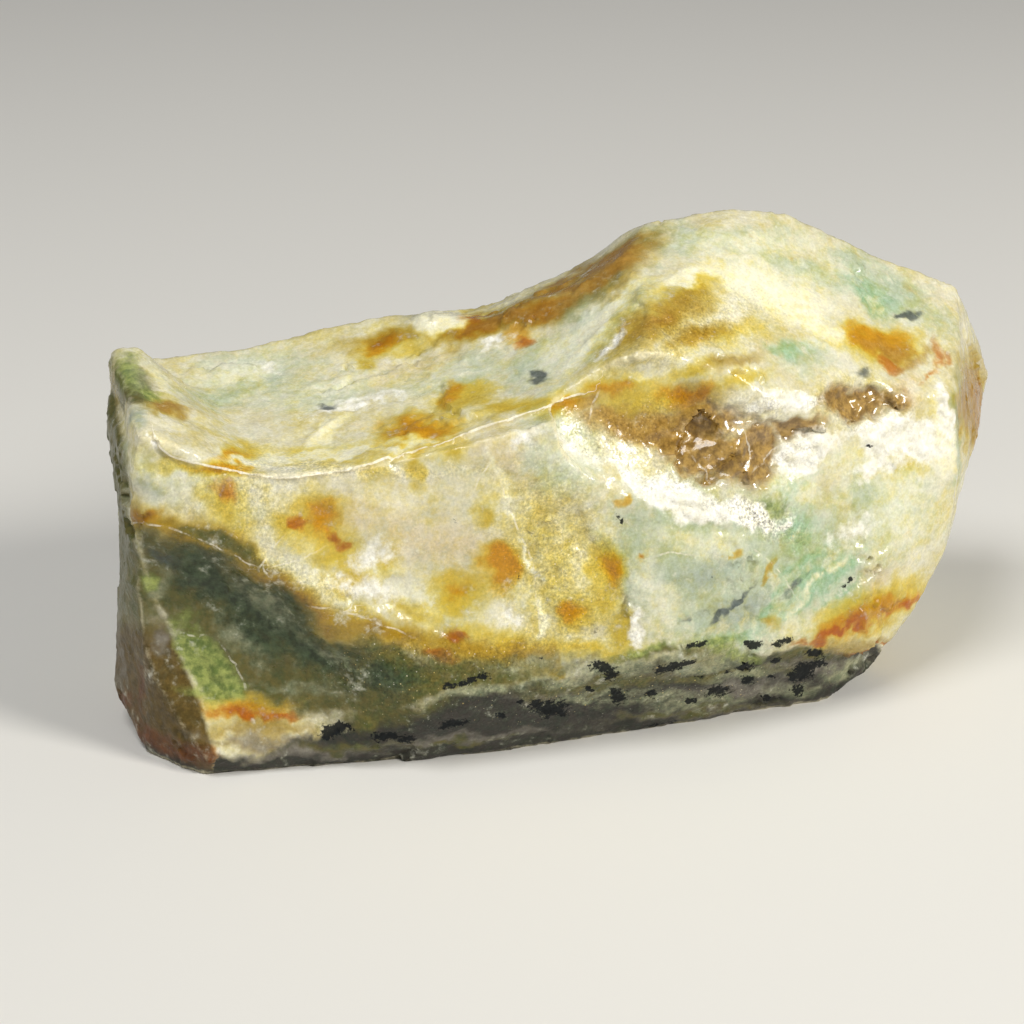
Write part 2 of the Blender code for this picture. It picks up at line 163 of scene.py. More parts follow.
# Each patch: across, down, half length, half width (view pixels), turn (degrees, rising to the right), strength.
ZONES = {
    "milk": (
        (905, 505, 44, 60, 0, 0.9), (796, 488, 34, 22, 40, 1.5), (330, 388, 80, 16, 12, 0.8),
        (170, 382, 22, 8, -36, 0.8), (740, 240, 70, 12, 0, 0.7), (250, 372, 50, 12, 10, 0.8),
        # The patch at (135, 466), on the left edge, is a painted highlight.
        (812, 352, 30, 8, 0, 0.7), (135, 466, 8, 16, -10, 1.1), (602, 322, 84, 18, 52, 1.3),
        (560, 352, 44, 14, 30, 1.0), (430, 375, 70, 10, 12, 0.7), (400, 495, 90, 20, -4, 0.5),
        (560, 450, 50, 26, -20, 0.7), (655, 590, 18, 56, 10, 0.7), (700, 540, 60, 12, -10, 0.6),
        (850, 455, 60, 16, 0, 0.7), (760, 270, 80, 20, -16, 0.7), (180, 480, 50, 12, -16, 0.5),
        (400, 590, 60, 14, -16, 0.5), (320, 450, 60, 8, 6, 0.6),
    ),
    "rose": (
        (380, 505, 84, 34, 0, 0.9), (440, 545, 60, 30, -10, 0.8), (520, 455, 40, 24, -20, 0.5),
        (872, 578, 30, 14, 20, 1.0), (940, 302, 20, 12, -20, 0.6), (908, 392, 18, 18, 0, 0.9),
        (700, 345, 16, 8, 10, 0.7), (395, 375, 60, 14, 10, 0.7), (150, 470, 20, 14, 0, 0.5),
    ),
    "mint": (
        (690, 548, 104, 78, 0, 1.0), (790, 555, 96, 78, 0, 1.0), (735, 612, 96, 42, 8, 1.0),
        (250, 380, 62, 26, 10, 0.7), (320, 395, 60, 16, 8, 0.7), (212, 398, 40, 14, 0, 0.6),
        (600, 320, 78, 26, 52, 0.8), (540, 360, 50, 20, 30, 0.8), (590, 300, 40, 22, 45, 0.7),
        (800, 358, 36, 18, 0, 0.6), (885, 290, 80, 26, -28, 0.9), (845, 668, 34, 12, 8, 0.9),
        (880, 500, 50, 60, 0, 0.7), (770, 700, 60, 10, 3, 0.6), (955, 430, 6, 60, 0, 0.9),
        (560, 450, 40, 50, 20, 0.7), (715, 240, 90, 16, 2, 0.7), (800, 265, 60, 14, -24, 0.9),
        (455, 372, 70, 14, 12, 0.6),
    ),
    "blue_grey": (
        (735, 608, 44, 22, 25, 1.1), (700, 575, 40, 20, 30, 0.7), (650, 600, 24, 36, 0, 0.5),
        # The patches at (132, 418) and (123, 460), on the left edge, are painted highlights: bluish-white light on
        # that edge.
        (155, 478, 34, 24, -30, 0.9), (132, 418, 12, 16, 0, 1.1), (123, 460, 5, 24, 0, 0.9),
    ),
    "aqua": (
        (790, 494, 34, 10, 42, 0.25), (806, 596, 44, 8, 38, 1.2), (836, 572, 40, 7, 36, 1.2),
        (782, 584, 26, 6, 62, 1.0), (806, 560, 30, 5, 34, 1.0), (770, 610, 30, 5, 40, 0.8),
        (835, 598, 30, 4, 30, 0.8), (812, 582, 50, 20, 36, 0.85), (786, 352, 26, 12, -10, 1.0),
        (845, 672, 26, 12, 20, 1.0), (800, 530, 24, 26, 0, 0.6), (870, 292, 30, 12, -30, 0.6),
        (740, 640, 30, 10, 0, 0.5),
    ),
    "olive": (
        (132, 384, 28, 24, -40, 1.3), (390, 676, 60, 20, 6, 0.8), (350, 690, 60, 14, 4, 0.9),
        (470, 668, 60, 14, 8, 0.9), (225, 545, 60, 8, -24, 0.9), (560, 666, 60, 6, 6, 0.5),
        (330, 706, 50, 12, 6, 0.9), (660, 656, 80, 6, 4, 0.7), (480, 684, 60, 10, 8, 0.7),
        (390, 712, 70, 12, 10, 0.8), (600, 682, 90, 8, 6, 0.9), (720, 674, 80, 7, 4, 0.9), (350, 745, 60, 5, 4, 0.5),
        (800, 656, 50, 8, 2, 0.8), (690, 712, 90, 4, 5, 0.7), (450, 742, 60, 3, 4, 0.6),
    ),
    "moss": (
        (205, 580, 44, 26, -44, 1.2), (262, 612, 60, 34, -38, 1.3), (322, 655, 60, 26, -26, 1.1),
        (380, 676, 40, 14, -6, 0.7), (250, 640, 40, 20, -36, 1.0),
    ),
    "leaf": (
        (206, 694, 26, 8, 0, 0.8), (722, 644, 28, 6, 4, 0.9), (742, 656, 34, 7, -12, 0.8), (650, 652, 34, 6, 6, 0.7),
        (126, 368, 16, 18, 0, 0.6), (180, 625, 14, 14, 0, 0.6), (776, 506, 16, 12, 30, 0.6),
        (150, 393, 18, 8, -30, 0.7),
    ),
    "brick": (
        (150, 748, 54, 18, -28, 1.2), (122, 706, 10, 30, -10, 1.0), (196, 758, 24, 12, 0, 1.0),
        (140, 690, 6, 30, -10, 0.5),
    ),
    "sage": (
        (620, 668, 50, 7, 4, 0.9), (700, 664, 50, 6, 4, 0.9), (560, 678, 40, 5, 6, 0.8), (740, 676, 40, 6, 4, 0.7),
        (480, 692, 50, 5, 8, 0.8), (800, 690, 30, 8, 0, 0.7), (846, 672, 26, 11, 20, 1.2), (650, 700, 60, 5, 6, 0.6),
        (262, 602, 32, 9, -44, 0.4), (160, 590, 8, 20, -30, 0.6), (330, 650, 30, 8, -32, 0.35),
        (236, 646, 22, 8, -40, 0.3), (300, 690, 46, 5, -8, 0.4), (600, 694, 60, 5, 6, 0.7), (705, 702, 50, 6, 6, 0.7),
        (136, 376, 18, 12, -40, 0.7), (540, 664, 40, 8, 4, 0.5),
    ),
    "ash": (
        (700, 712, 110, 5, 4, 0.7), (450, 738, 110, 5, 4, 0.7), (780, 668, 50, 5, 4, 0.7), (300, 752, 80, 5, 2, 0.9),
        (262, 740, 60, 8, -2, 0.7), (740, 690, 80, 8, 5, 0.6), (820, 668, 50, 8, 10, 0.7), (640, 676, 60, 5, 6, 0.8),
        (560, 690, 50, 4, 6, 0.7), (120, 660, 4, 24, 0, 0.7), (160, 640, 10, 14, -30, 0.6),
    ),
    "ochre": (
        (225, 515, 22, 44, 30, 0.7), (205, 466, 54, 10, -6, 1.0), (243, 452, 26, 12, 0, 1.0),
        (318, 522, 32, 34, -38, 1.0), (330, 545, 40, 26, -40, 1.0), (285, 525, 18, 14, 0, 0.8),
        (350, 578, 30, 20, -20, 0.6), (418, 466, 9, 24, 5, 0.9), (412, 610, 30, 12, -12, 0.6),
        (458, 592, 32, 22, 10, 1.4), (500, 566, 30, 26, 0, 1.6), (490, 513, 12, 14, 0, 0.9),
        (572, 612, 24, 22, 20, 1.1), (606, 576, 17, 36, 12, 1.1), (600, 600, 18, 20, 0, 0.9),
        (622, 628, 14, 26, 14, 1.0), (550, 560, 40, 50, 12, 0.25), (390, 345, 40, 13, 14, 1.0),
        (365, 367, 10, 8, 0, 0.8), (462, 398, 34, 15, 20, 1.2), (415, 430, 46, 20, 14, 1.0),
        (520, 404, 56, 10, 16, 1.0), (565, 402, 34, 16, 10, 1.0), (624, 388, 40, 12, 5, 1.0),
        (650, 322, 70, 24, 34, 0.4), (718, 338, 54, 11, 12, 0.6), (690, 288, 44, 10, 36, 0.7),
        (880, 344, 50, 20, -12, 1.1), (970, 400, 18, 50, 0, 1.1), (865, 612, 70, 20, 20, 1.0),
        (905, 590, 34, 14, 25, 0.8), (385, 630, 60, 12, -20, 0.8), (290, 596, 56, 12, -38, 1.0),
        (250, 702, 62, 8, -2, 1.0), (330, 455, 90, 10, 2, 0.45), (755, 520, 14, 8, 0, 0.5),
        (740, 380, 30, 8, 10, 0.6), (505, 640, 70, 16, -10, 0.8), (590, 652, 60, 9, 2, 0.9),
        (200, 545, 40, 8, -22, 0.9), (160, 405, 26, 12, -20, 0.8), (645, 400, 60, 16, -2, 0.8),
        (455, 450, 16, 14, 30, 0.6), (375, 470, 14, 10, 0, 0.4), (690, 372, 30, 8, 14, 0.7),
        (385, 565, 20, 10, 40, 0.4), (905, 468, 20, 10, 0, 0.4), (480, 322, 60, 14, 14, 0.8),
    ),
    "tan": (
        (600, 278, 72, 22, 32, 1.4), (545, 303, 60, 18, 24, 1.4), (640, 250, 34, 12, 30, 1.1),
        # The patch at (168, 410), below the horn, is painted shade.
        (490, 324, 60, 14, 14, 1.2), (168, 410, 24, 9, -12, 1.0), (640, 428, 56, 18, -8, 1.1),
        (700, 395, 34, 12, 0, 0.8), (270, 588, 70, 8, -36, 0.9), (225, 557, 40, 7, -26, 0.8),
        (400, 646, 70, 8, -8, 0.9), (860, 644, 50, 8, 8, 0.9), (330, 700, 70, 9, 6, 0.6), (735, 362, 34, 7, 14, 0.9),
        (664, 322, 60, 20, 32, 0.9), (700, 336, 40, 10, 14, 0.7), (110, 400, 8, 30, 0, 0.4),
        (970, 400, 26, 50, 0, 1.0), (262, 734, 70, 14, -2, 1.2), (380, 340, 40, 9, 14, 0.6),
    ),
    "amber": (
        (545, 303, 56, 11, 24, 1.0), (603, 272, 50, 11, 33, 1.0), (416, 430, 34, 15, 14, 0.6),
        (382, 346, 24, 8, 16, 1.0), (500, 567, 22, 21, 0, 1.5), (232, 455, 24, 7, 0, 0.9), (226, 467, 34, 5, -4, 0.8),
        (680, 400, 24, 10, -20, 0.8), (703, 394, 8, 14, -10, 0.9), (876, 340, 38, 13, -14, 1.2),
        (609, 570, 7, 15, 10, 1.0), (478, 326, 26, 10, 12, 0.9), (516, 336, 18, 11, 10, 1.1),
        (842, 628, 40, 9, 22, 1.1), (893, 606, 30, 8, 24, 1.1), (766, 573, 15, 4, 38, 1.1), (730, 553, 7, 3, 0, 1.0),
        (623, 497, 11, 5, 20, 1.1), (771, 623, 9, 7, 0, 0.8), (245, 714, 50, 9, -3, 1.1), (150, 515, 17, 6, 0, 1.0),
        (457, 590, 12, 7, 0, 0.6), (568, 402, 18, 8, 20, 0.9), (452, 392, 16, 9, 30, 0.9), (644, 563, 6, 5, 0, 0.8),
        (978, 400, 8, 22, 0, 0.8), (566, 610, 12, 10, 0, 0.9), (320, 520, 12, 16, -30, 0.5),
        (610, 392, 20, 7, 0, 0.8),
    ),
    "rust": (
        (296, 525, 11, 7, -20, 1.0), (334, 540, 10, 7, -50, 0.8), (345, 546, 4, 4, 0, 1.0),
        (458, 637, 12, 7, 10, 0.8), (526, 342, 12, 6, 12, 0.9), (240, 716, 34, 5, -8, 0.6), (284, 717, 20, 5, 0, 0.8),
        (890, 363, 20, 8, -22, 1.4), (931, 376, 14, 5, 40, 0.9), (832, 634, 40, 5, 20, 1.0),
        (875, 647, 44, 3, 10, 0.8), (808, 642, 18, 3, 8, 0.8), (150, 752, 50, 18, -28, 1.1),
        (124, 706, 12, 26, -10, 0.9), (196, 756, 20, 14, 0, 0.9), (905, 604, 22, 3, 24, 0.7),
        (470, 318, 12, 5, 0, 0.5), (225, 492, 8, 10, 0, 0.5), (940, 360, 6, 14, 0, 0.6), (643, 563, 4, 3, 0, 0.8),
        (440, 654, 20, 6, -10, 0.6),
    ),
    "honey": (
        (706, 452, 62, 27, -10, 1.3), (752, 456, 38, 34, 18, 1.4), (800, 430, 32, 13, 10, 1.3),
        (857, 401, 42, 18, -5, 1.3), (712, 420, 46, 20, 0, 1.0), (893, 400, 16, 12, 0, 0.8),
    ),
    "chalk": (
        (690, 500, 66, 20, -20, 1.4), (742, 516, 46, 18, -14, 1.4), (640, 482, 34, 9, -36, 1.1),
        (786, 402, 48, 13, 4, 1.2), (815, 448, 36, 16, 32, 1.3), (905, 440, 50, 26, 0, 1.3),
        (872, 428, 26, 9, 0, 1.1), (943, 412, 9, 30, 0, 1.0), (612, 345, 20, 6, 45, 0.5), (785, 524, 12, 6, 40, 0.9),
        (520, 440, 34, 10, 16, 0.4), (636, 628, 6, 26, 12, 0.9), (510, 612, 8, 20, 20, 0.5),
        (370, 590, 46, 12, -14, 0.4), (850, 530, 30, 12, 30, 0.4), (150, 440, 14, 3, -60, 0.8),
        (575, 448, 30, 9, -30, 0.4), (495, 345, 16, 8, 20, 0.7), (270, 372, 16, 5, -30, 0.5),
        (370, 560, 30, 10, 20, 0.3), (880, 470, 34, 10, 10, 0.8), (350, 405, 60, 6, 12, 0.4),
    ),
    "cream": (
        (440, 323, 32, 12, 4, 1.3), (692, 276, 40, 9, 12, 1.0), (775, 294, 64, 18, -20, 1.2),
        (815, 322, 46, 12, -26, 1.0), (330, 430, 34, 8, 35, 1.0), (262, 736, 64, 6, -2, 1.3),
        (320, 455, 70, 7, 4, 1.0), (250, 462, 40, 5, -8, 0.6), (508, 500, 26, 3, -66, 1.1),
        (530, 558, 30, 3, -68, 1.1), (541, 620, 24, 4, -80, 1.1), (494, 470, 18, 4, -60, 0.8),
        (820, 578, 40, 4, 38, 0.7), (795, 606, 24, 3, 36, 0.6), (420, 440, 50, 6, 14, 0.6),
        (600, 322, 70, 10, 52, 0.6), (640, 380, 30, 6, 10, 0.5), (940, 440, 12, 40, 0, 0.8),
    ),
    "caramel": (
        # The patch at (168, 409), below the horn, is painted shade.
        (640, 430, 58, 17, -14, 1.3), (590, 405, 26, 9, 14, 1.1), (168, 409, 24, 8, -12, 1.4),
        (890, 350, 34, 9, -18, 1.0), (915, 362, 26, 8, 30, 0.8), (654, 322, 30, 12, 34, 0.5),
        (975, 395, 12, 44, 0, 0.7), (500, 318, 40, 7, 16, 0.6), (595, 278, 60, 12, 32, 0.8),
        (300, 600, 50, 5, -38, 0.6),
    ),
    "smoke": (
        (728, 600, 28, 3, 46, 1.2), (714, 615, 11, 4, 50, 1.1), (326, 406, 11, 4, 14, 1.2), (535, 373, 12, 6, 5, 1.4),
        (908, 317, 14, 5, -6, 1.1), (860, 374, 8, 4, 0, 0.6), (690, 620, 12, 3, 30, 0.5), (795, 585, 20, 3, 42, 0.6),
        (160, 560, 20, 8, -40, 0.5),
    ),
    # Where the painted glints and crystal sparkle show, and where the grit is deepest.
    "glint": (
        (700, 440, 100, 50, 0, 1.0), (860, 400, 50, 24, 0, 1.0), (760, 520, 60, 20, -20, 0.8),
        (330, 470, 180, 8, -2, 0.7), (400, 668, 90, 34, 4, 1.0), (560, 570, 60, 110, 12, 0.8),
        (640, 440, 80, 30, -8, 0.9), (480, 660, 120, 24, 8, 0.9), (690, 330, 80, 34, 20, 0.6),
        (300, 580, 70, 20, -36, 0.6), (600, 690, 260, 30, 4, 0.6), (250, 500, 60, 50, 0, 0.5),
    ),
}

# Dark mineral grown in flat sprays: across, down, half length, half width, turn.
DENDRITES = (
    (456, 684, 12, 3, 8), (472, 680, 8, 4, 10), (484, 676, 7, 3, 0), (447, 686, 5, 3, 0), (604, 668, 12, 7, 0),
    (612, 676, 8, 5, 20), (597, 664, 6, 4, 0), (672, 667, 18, 4, 4), (688, 663, 8, 3, 0), (662, 670, 7, 4, 0),
    (694, 645, 14, 3, 10), (704, 642, 6, 3, 0), (756, 645, 8, 4, 10), (750, 643, 4, 3, 0), (782, 640, 12, 3, 6),
    (775, 644, 6, 3, 0), (817, 655, 8, 4, 0), (810, 652, 4, 3, 0), (803, 672, 12, 10, 20), (796, 676, 8, 7, 0),
    (812, 666, 7, 5, 30), (776, 661, 6, 3, 0), (797, 690, 7, 6, 0), (718, 691, 13, 7, 4), (744, 668, 9, 4, 4),
    (748, 680, 8, 3, 0), (772, 678, 4, 2, 0), (652, 694, 7, 5, 0), (618, 698, 9, 8, 30), (614, 692, 6, 5, 0),
    (549, 708, 19, 9, 6), (536, 704, 8, 6, 0), (560, 712, 8, 6, 0), (456, 723, 16, 4, 4), (444, 726, 7, 4, 0),
    (337, 729, 16, 7, 4), (328, 733, 8, 5, 0), (388, 736, 18, 4, 0), (409, 737, 9, 4, 0), (663, 728, 22, 5, 6),
    (642, 731, 8, 4, 0), (455, 519, 3, 3, 0), (415, 528, 2, 2, 0), (519, 579, 2, 2, 0), (541, 660, 3, 2, 0),
    (617, 516, 4, 4, 0), (623, 522, 3, 3, 0), (714, 576, 2, 2, 0), (843, 587, 5, 2, 20), (851, 579, 3, 3, 0),
    (869, 446, 3, 2, 0), (700, 678, 5, 3, 0), (728, 672, 4, 2, 0), (822, 664, 6, 4, 0), (590, 690, 5, 3, 0),
    (500, 716, 7, 3, 0), (520, 700, 5, 3, 0), (690, 700, 6, 3, 0), (765, 697, 6, 3, 0), (576, 660, 3, 2, 0),
)

# Zones on the sides that the show camera doesn't see, sown at random: how many, and sizes.
FAR_SEED = 7
FAR_PATCHES = {
    "milk": (12, 2.0, 5.0), "mint": (16, 3.0, 6.0), "rose": (8, 2.0, 4.5), "aqua": (5, 1.5, 3.0),
    "blue_grey": (5, 1.5, 3.5), "ochre": (30, 1.2, 4.5), "tan": (12, 1.5, 4.5), "olive": (5, 1.2, 3.0),
    "moss": (2, 1.5, 2.5), "leaf": (5, 0.8, 2.0), "brick": (4, 0.6, 1.6), "sage": (4, 1.0, 2.4), "ash": (4, 1.0, 2.4),
    "amber": (26, 0.5, 1.8), "rust": (20, 0.3, 1.2), "honey": (4, 1.0, 2.4), "chalk": (16, 0.8, 2.4),
    "cream": (12, 1.0, 3.2), "caramel": (8, 0.8, 2.4), "smoke": (5, 0.3, 0.9), "glint": (7, 1.5, 4.0),
}
FAR_DENDRITES = (60, 0.15, 0.7)


class ShowView:
    """Where the show camera stands, and how a point on the stone is seen by it."""

    def __init__(self):
        level = math.cos(SHOW_RISE)
        self.back = np.array([math.sin(SHOW_HEADING) * level, -math.cos(SHOW_HEADING) * level, math.sin(SHOW_RISE)])
        self.right = np.array([math.cos(SHOW_HEADING), math.sin(SHOW_HEADING), 0.0])
        self.up = np.cross(self.back, self.right)
        self.eye = SHOW_TARGET + self.back * SHOW_DISTANCE
        self.spread = SENSOR / 2 / LENS
        self.middle = VIEW_PIXELS / 2

    def seen(self, points):
        """Across, down and depth of points, for the rows of an array."""
        away = points - self.eye
        depth = -(away @ self.back)
        scale = self.middle / (self.spread * depth)
        return self.middle + scale * (away @ self.right), self.middle - scale * (away @ self.up), depth

    def place_at(self, across, down, skin):
        """The place on the stone's skin that is seen at a place in the view."""
        sideways = (across - self.middle) / self.middle * self.spread
        upwards = (self.middle - down) / self.middle * self.spread
        ray = -self.back + sideways * self.right + upwards * self.up
        hit = skin.ray_cast(Vector(self.eye), Vector(ray).normalized())[0]
        if hit is None:
            return self.eye + ray * SHOW_DISTANCE
        return np.array(hit)

    def depth_at(self, across, down, skin):
        return float(-(self.place_at(across, down, skin) - self.eye) @ self.back)


def srgb(code):
    """An sRGB hex colour as linear RGBA."""
    shares = [int(code[i : i + 2], 16) / 255 for i in (1, 3, 5)]
    linear = [s / 12.92 if s <= 0.04045 else ((s + 0.055) / 1.055) ** 2.4 for s in shares]
    return (*linear, 1.0)


# ---------------------------------------------------------------- the stone's mesh


def even_grid(node):
    """A smooth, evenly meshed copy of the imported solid."""
    bm = bmesh.new()
    bm.from_mesh(node.data)
    bmesh.ops.remove_doubles(bm, verts=bm.verts, dist=1e-6)
    crease = bm.edges.layers.float.new("crease_edge")
    for edge in bm.edges:
        if edge.is_manifold and edge.calc_face_angle() > CRISP_ANGLE:
            edge[crease] = 1.0
    mesh = bpy.data.meshes.new("rough_opal")
    bm.to_mesh(mesh)
    bm.free()
    stone = bpy.data.objects.new("rough_opal", mesh)
    bpy.context.scene.collection.objects.link(stone)
    rounded = stone.modifiers.new("rounded", "SUBSURF")
    rounded.levels = 2
    rounded.render_levels = 2
    even = stone.modifiers.new("even", "REMESH")
    even.mode = "VOXEL"
    even.voxel_size = GRID * MM
    settle(stone)
    return stone


def settle(obj):
    """Applies the object's modifiers to its mesh."""
    graph = bpy.context.evaluated_depsgraph_get()
    mesh = bpy.data.meshes.new_from_object(obj.evaluated_get(graph))
    obj.modifiers.clear()
    obj.data = mesh


def thin_out(stone):
    """Collapses the flattest places, where so many faces show nothing."""
    triangles = sum(len(face.vertices) - 2 for face in stone.data.polygons)
    thin = stone.modifiers.new("thin", "DECIMATE")
    thin.ratio = min(1.0, TRIANGLES_KEPT / triangles)
    settle(stone)
    points = vertex_array(stone.data, "co")
    stone.data.vertices.foreach_set("co", np.clip(points, CAD_BOX[0], CAD_BOX[1]).ravel())
    stone.data.shade_smooth()
    stone.data.set_sharp_from_angle(angle=SHARP_ANGLE)


def vertex_array(mesh, what):
    values = np.empty(len(mesh.vertices) * 3)
    source = mesh.vertices if what == "co" else mesh.vertex_normals
    source.foreach_get(what if what == "co" else "vector", values)
    return values.reshape(-1, 3)


def crag(points, wavelength, octaves, shift=0.0):
    """Fractal noise at each point, about -1 to 1."""
    aside = Vector((shift, 0, 0))
    return np.array([noise.fractal(Vector(p) / wavelength + aside, 1.0, 2.0, octaves) for p in points])


def shards(points, size, shift=0.0):
    """Little broken facets at each point, every one with its own slope."""
    out = np.empty(len(points))
    for i, p in enumerate(points):
        place = Vector(p) / size + Vector((0, 0, shift))
        middle = noise.voronoi(place)[1][0]
        out[i] = (place - middle).dot(noise.cell_vector(middle * 7.3) * 2 - Vector((1, 1, 1)))
    return out


def flakes(points, size, shift=0.0):
    """Little chipped facets at each point: 0 along the cracks between them, more towards their middles."""
    out = np.empty(len(points))
    for i, p in enumerate(points):
        near = noise.voronoi(Vector(p) / size + Vector((0, shift, 0)))[0]
        out[i] = near[1] - near[0]
    return out


# ---------------------------------------------------------------- where things are on it


def from_line(line, points, across, down, skin):
    """Distance of each point from a line on the skin: positive above it (or right of it, for a line going down), and
    a taper from 0 at the line's ends to 1 further in."""
    stations = [np.array(line[0], float)]
    for start, end in zip(line, line[1:]):
        run = np.subtract(end, start)
        parts = max(1, round(float(np.hypot(*run)) / 12.0))
        stations += [start + run * (k + 1) / parts for k in range(parts)]
    places = [VIEW.place_at(*station, skin) for station in stations]
    lengths = [np.linalg.norm(b - a) for a, b in zip(places, places[1:])]
    travelled = np.concatenate(([0.0], np.cumsum(lengths)))
    best = np.full(len(points), 1e9)
    signed = np.full(len(points), 1e9)
    arc = np.zeros(len(points))
    for k, length in enumerate(lengths):
        way = (places[k + 1] - places[k]) / length
        held = np.clip((points - places[k]) @ way, 0.0, length)
        away = np.linalg.norm(points - places[k] - held[:, None] * way, axis=1)
        run = stations[k + 1] - stations[k]
        side = (across - stations[k][0]) * run[1] - (down - stations[k][1]) * run[0]
        closer = away < best
        best = np.where(closer, away, best)
        signed = np.where(closer, np.where(side >= 0, away, -away), signed)
        arc = np.where(closer, travelled[k] + held, arc)
    taper = np.clip(np.minimum(arc, travelled[-1] - arc) / min(1.2, travelled[-1] / 3), 0.0, 1.0)
    return signed, taper


def patch_field(patches, across, down, depth, skin):
    """1 in the middle of a patch, 0 at its rim and less outside; where patches meet, the stronger one counts."""
    field = np.full(len(across), -1.0)
    for a, d, length, width, turn, strength in patches:
        middle = VIEW.depth_at(a, d, skin)
        c, s = math.cos(math.radians(turn)), math.sin(math.radians(turn))
        along = ((across - a) * c - (down - d) * s) / length
        over = ((across - a) * s + (down - d) * c) / width
        reach = 2.2 * max(length, width) / PIXELS_PER_MM + 0.4
        r = np.sqrt(along**2 + over**2 + ((depth - middle) / reach) ** 2)
        field = np.maximum(field, strength * np.clip(1.0 - r, -1.0, 1.0) * 1.6)
    return field


def facet_field(corners, across, down, rim):
    """1 inside a flat face with straight edges, 0 at its rim and less outside."""
    field = np.full(len(across), 1.0)
    for (a, d), (next_a, next_d) in zip(corners, (*corners[1:], corners[0])):
        length = math.hypot(next_a - a, next_d - d)
        inwards = ((next_a - a) * (down - d) - (next_d - d) * (across - a)) / length
        field = np.minimum(field, inwards / rim)
    return np.clip(field, -1.0, 1.0) * 1.1


def far_field(sowing, sites, points, rng):
    """Patches sown on the sides that the show camera doesn't see."""
    count, least, most = sowing
    field = np.full(len(points), -1.0)
    for _ in range(count):
        middle = points[sites[rng.randrange(len(sites))]]
        radius = rng.uniform(least, most)
        squash = np.array([rng.uniform(0.6, 1.6), rng.uniform(0.6, 1.4), rng.uniform(0.25, 0.8)])
        r = np.linalg.norm((points - middle) / (radius * squash), axis=1)
        field = np.maximum(field, np.clip(1.0 - r, -1.0, 1.0) * 1.6)
    return field


def store(mesh, name, values):
    layer = mesh.attributes.new(name, "FLOAT", "POINT")
    layer.data.foreach_set("value", np.asarray(values, np.float32))


def soft(field, low, high):
    t = np.clip((field - low) / (high - low), 0.0, 1.0)
    return t * t * (3 - 2 * t)


def neighbour_mean(values, edges, counts):
    total = np.zeros_like(values)
    np.add.at(total, edges[:, 0], values[edges[:, 1]])
    np.add.at(total, edges[:, 1], values[edges[:, 0]])
    return total / counts[:, None]


def edginess(mesh, normals):
    """0 on a face and up to about 1 on a sharp edge of the stone."""
    edges = np.empty(len(mesh.edges) * 2, np.int64)
    mesh.edges.foreach_get("vertices", edges)
    edges = edges.reshape(-1, 2)
    counts = np.bincount(edges.ravel(), minlength=len(normals)).astype(float)
    mean = normals
    for _ in range(3):
        mean = neighbour_mean(mean, edges, counts)
    return np.clip((1.0 - np.linalg.norm(mean, axis=1)) * 8.0, 0.0, 1.0)


